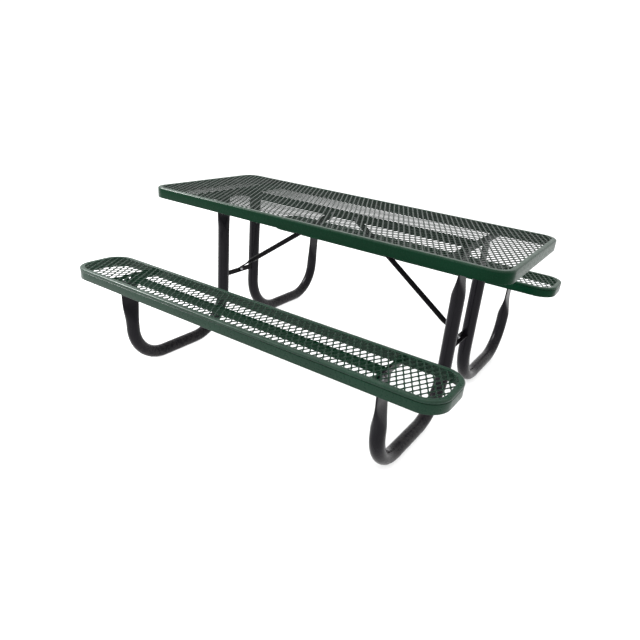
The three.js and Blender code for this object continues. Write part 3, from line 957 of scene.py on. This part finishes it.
class Spindle:
    """Rings round a fastener's axis, from its outer face inwards."""

    def __init__(self, node, towards):
        low, high = (np.array(corner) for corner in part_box(node))
        size, centre = high - low, (low + high) / 2
        axis = int(np.argmax(np.abs(towards)))
        self.way = np.eye(3)[axis] * math.copysign(1, towards[axis])
        self.length = size[axis]
        self.start = centre - self.way * self.length / 2
        cross = [i for i in range(3) if i != axis]
        corner = cross[int(np.argmax(size[cross]))]
        self.corner = np.eye(3)[corner]
        self.third = np.cross(self.way, self.corner)
        self.angles = np.arange(HEX_SIDES) * 2 * math.pi / HEX_SIDES

    def ring(self, height, reaches):
        cos, sin = np.cos(self.angles) * reaches, np.sin(self.angles) * reaches
        centre = self.start + self.way * height
        return centre + np.outer(cos, self.corner) + np.outer(sin, self.third)

    def hex_ring(self, height, widest):
        reaches = [min(hex_reach(angle, HEX_RADIUS), widest) for angle in self.angles]
        return self.ring(height, np.array(reaches))

    def thread_ring(self, height):
        turns = height / THREAD_PITCH + self.angles / (2 * math.pi)
        depth = THREAD_DEPTH * np.abs(2 * (turns % 1) - 1)
        return self.ring(height, SHANK_RADIUS - depth)


def centre_of(node):
    low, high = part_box(node)
    return np.array((low + high) / 2)


def bolt_to_nut(name):
    return centre_of(f"nut_{name}") - centre_of(f"bolt_{name}")


def make_bolt(name):
    """Hexagon head with a shallow dish, plain shank, and a thread to the tip."""
    spindle = Spindle(f"bolt_{name}", bolt_to_nut(name))
    rings = []
    for depth, reach in DISH_RINGS:
        rings.append(spindle.hex_ring(depth * DISH_DEPTH, reach * HEX_RADIUS))
    rings += [spindle.hex_ring(*level) for level in hex_profile(HEAD_HEIGHT, False)]
    full = np.full(HEX_SIDES, SHANK_RADIUS)
    tip = spindle.length
    thread_start = tip - THREAD_LENGTH
    rings += [spindle.ring(HEAD_HEIGHT, full), spindle.ring(thread_start, full)]
    steps = int(THREAD_LENGTH / THREAD_STEP)
    for step in range(1, steps - 1):
        rings.append(spindle.thread_ring(thread_start + THREAD_LENGTH * step / steps))
    rings.append(spindle.ring(tip - TIP_LENGTH, full - THREAD_DEPTH))
    rings.append(spindle.ring(tip, full - TIP_DRAW))
    faces = capped_tube(np.array(rings))
    add_piece(f"bolt_{name}", "threaded", rings, faces, ZINC, HEX_SHARP_ANGLE)


def make_nut(name):
    """Hexagon nut with both ends chamfered and a countersunk hole."""
    spindle = Spindle(f"nut_{name}", bolt_to_nut(name))
    height = spindle.length
    hole = np.full(HEX_SIDES, NUT_HOLE)
    rings = [spindle.ring(NUT_SINK, hole), spindle.ring(0, hole + NUT_SINK)]
    rings += [spindle.hex_ring(*level) for level in hex_profile(height, True)]
    rings += [spindle.ring(height, hole + NUT_SINK), spindle.ring(height - NUT_SINK, hole)]
    faces = skin(np.array(rings), True)
    add_piece(f"nut_{name}", "chamfered", rings, faces, ZINC, HEX_SHARP_ANGLE)


# Stage


def make_stage():
    """A pale floor that is wide enough to fade into the surroundings."""
    square = ((-1, -1), (1, -1), (1, 1), (-1, 1))
    corners = [(x * FLOOR_REACH, y * FLOOR_REACH, 0) for x, y in square]
    mesh = bpy.data.meshes.new("floor")
    mesh.from_pydata(corners, [], [(0, 1, 2, 3)])
    floor = bpy.data.objects.new("floor", mesh)
    bpy.context.collection.objects.link(floor)
    graph = Graph("floor_pale")
    shade = graph.span(graph.noise(1.5, 2.0), 0.3, 0.7, 0.0, 1.0)
    colour = graph.mix(shade, *FLOOR_SHADES)
    graph.finish(colour, 0.9, graph.bump([(graph.noise(80.0), 0.1 * MM)]))
    mesh.materials.append(graph.material)


def add_area_light(name, place, aim, width, height, power):
    light = bpy.data.lights.new(name, "AREA")
    light.shape = "RECTANGLE"
    light.size = width
    light.size_y = height
    light.energy = power
    light.use_shadow = False
    holder = bpy.data.objects.new(name, light)
    holder.location = place
    way = Vector(aim) - Vector(place)
    holder.rotation_euler = way.to_track_quat("-Z", "Y").to_euler()
    bpy.context.collection.objects.link(holder)


def make_lights():
    world = bpy.data.worlds.new("surroundings")
    world.use_nodes = True
    tree = world.node_tree
    way = tree.nodes.new("ShaderNodeTexCoord")
    axes = tree.nodes.new("ShaderNodeSeparateXYZ")
    fade = tree.nodes.new("ShaderNodeMapRange")
    for name, value in zip(("From Min", "From Max", "To Min", "To Max"), WORLD_FADE):
        fade.inputs[name].default_value = value
    tree.links.new(way.outputs["Generated"], axes.inputs["Vector"])
    tree.links.new(axes.outputs["Z"], fade.inputs["Value"])
    tree.links.new(fade.outputs["Result"], tree.nodes["Background"].inputs["Strength"])
    tree.nodes["Background"].inputs["Color"].default_value = (1, 1, 1, 1)
    bpy.context.scene.world = world
    add_area_light(*LAMP)
    bpy.context.scene.view_settings.view_transform = "Standard"


def make_camera():
    lens = bpy.data.cameras.new("camera")
    lens.sensor_width = CAMERA_SENSOR
    lens.lens = CAMERA_LENS
    lens.shift_x, lens.shift_y = CAMERA_SHIFT
    camera = bpy.data.objects.new("camera", lens)
    camera.location = CAMERA_PLACE
    camera.rotation_euler = [math.radians(angle) for angle in CAMERA_TURN]
    bpy.context.collection.objects.link(camera)
    bpy.context.scene.camera = camera


make_camera()
make_stage()
make_lights()
for prefix, corner, pitch, phase, strand in (
    ("top", TOP_CORNER, TOP_PITCH, TOP_PHASE, TOP_STRAND),
    ("front_seat", SEAT_CORNER, SEAT_PITCH, SEAT_PHASE, SEAT_STRAND),
    ("rear_seat", SEAT_CORNER, SEAT_PITCH, SEAT_PHASE, SEAT_STRAND),
):
    make_rim(prefix, corner, prefix != "top")
    make_sheet(prefix, corner, pitch, phase, strand)
for row in ("front", "rear"):
    for side in ("left", "right"):
        make_leg(row, side)
for node in sorted(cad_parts):
    if node.endswith("_bar") or "_cross_bar_" in node:
        make_bar(node)
    elif node.startswith("bolt_"):
        make_bolt(node.removeprefix("bolt_"))
    elif node.startswith("nut_"):
        make_nut(node.removeprefix("nut_"))
for side in ("left", "right"):
    make_tie(side)
    make_brace(side)
